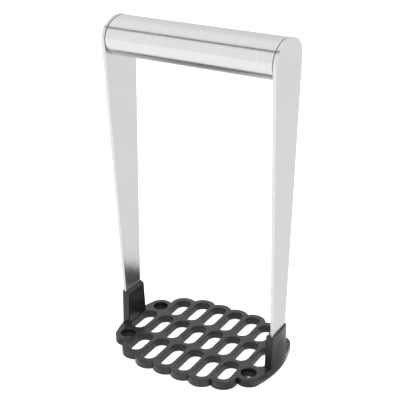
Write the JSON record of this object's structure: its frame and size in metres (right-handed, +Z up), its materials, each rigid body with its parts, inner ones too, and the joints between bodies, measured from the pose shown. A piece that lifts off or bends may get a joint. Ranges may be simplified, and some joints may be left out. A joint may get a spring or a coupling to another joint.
{
  "type": "potato masher",
  "caption": "Upright hand potato masher: an oval steel tube grip on two tapered flat steel legs moulded into a slotted nylon head with a scalloped edge.",
  "frame": {"origin": "on the surface the masher stands on, under the middle of the head", "axes": "+Z up towards the grip, +X along the grip to the right-hand leg, -Y towards the front"},
  "size_m": [0.1058, 0.0788, 0.1969],
  "materials": {
    "grip_steel": "satin, brushed round the tube",
    "leg_steel": "satin, brushed along the leg",
    "cup_steel": "plain pressed steel",
    "head_nylon": "fine matte texture"
  },
  "bodies": {
    "root": {"handle_tube": "grip_steel", "left_end_cup": "cup_steel", "right_end_cup": "cup_steel", "left_leg": "leg_steel", "right_leg": "leg_steel", "mashing_head": "head_nylon"}
  },
  "joints": []
}
